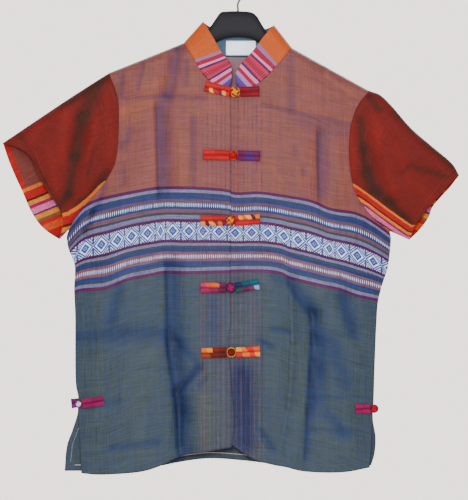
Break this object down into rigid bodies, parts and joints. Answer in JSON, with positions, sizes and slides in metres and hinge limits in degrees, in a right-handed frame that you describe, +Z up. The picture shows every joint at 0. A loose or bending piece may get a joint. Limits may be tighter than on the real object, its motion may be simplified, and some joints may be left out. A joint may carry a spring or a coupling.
{
  "type": "silk shirt on a hanger",
  "caption": "Short-sleeved shirt with a stand collar, frog fastenings, side vents and a woven band, hanging on a moulded hanger with a wire hook.",
  "frame": {"origin": "where a rod bears inside the crook of the hanger hook, in the plane of the side seams", "axes": "+Z up; +X to the right as seen from the front; the front faces -Y"},
  "size_m": [0.7324, 0.0598, 0.82],
  "materials": {
    "shirt_silk": "shot silk, plain weave, with a woven patterned band, soft sheen",
    "sleeve_silk": "shot silk in red and dark brown with a striped selvedge",
    "collar_silk": "firm orange silk with striped ends",
    "facing_silk": "dark teal silk",
    "label_satin": "white woven satin, blank",
    "frog_silk": "rolled silk strips of many colours",
    "hanger_plastic": "moulded, satin",
    "hook_steel": "drawn wire, satin"
  },
  "bodies": {
    "root": {"front_left": "shirt_silk", "front_right": "shirt_silk", "back": "shirt_silk", "sleeve_left": "sleeve_silk", "sleeve_right": "sleeve_silk", "collar": "collar_silk", "collar_facing": "facing_silk", "label": "label_satin", "frog_1_left": "frog_silk", "frog_1_right": "frog_silk", "frog_1_knot": "frog_silk", "frog_2_left": "frog_silk", "frog_2_right": "frog_silk", "frog_2_knot": "frog_silk", "frog_3_left": "frog_silk", "frog_3_right": "frog_silk", "frog_3_knot": "frog_silk", "frog_4_left": "frog_silk", "frog_4_right": "frog_silk", "frog_4_knot": "frog_silk", "frog_5_left": "frog_silk", "frog_5_right": "frog_silk", "frog_5_knot": "frog_silk", "vent_left_front": "frog_silk", "vent_left_back": "frog_silk", "vent_left_knot": "frog_silk", "vent_right_front": "frog_silk", "vent_right_knot": "frog_silk", "hanger_body": "hanger_plastic", "hanger_hook": "hook_steel"}
  },
  "joints": []
}
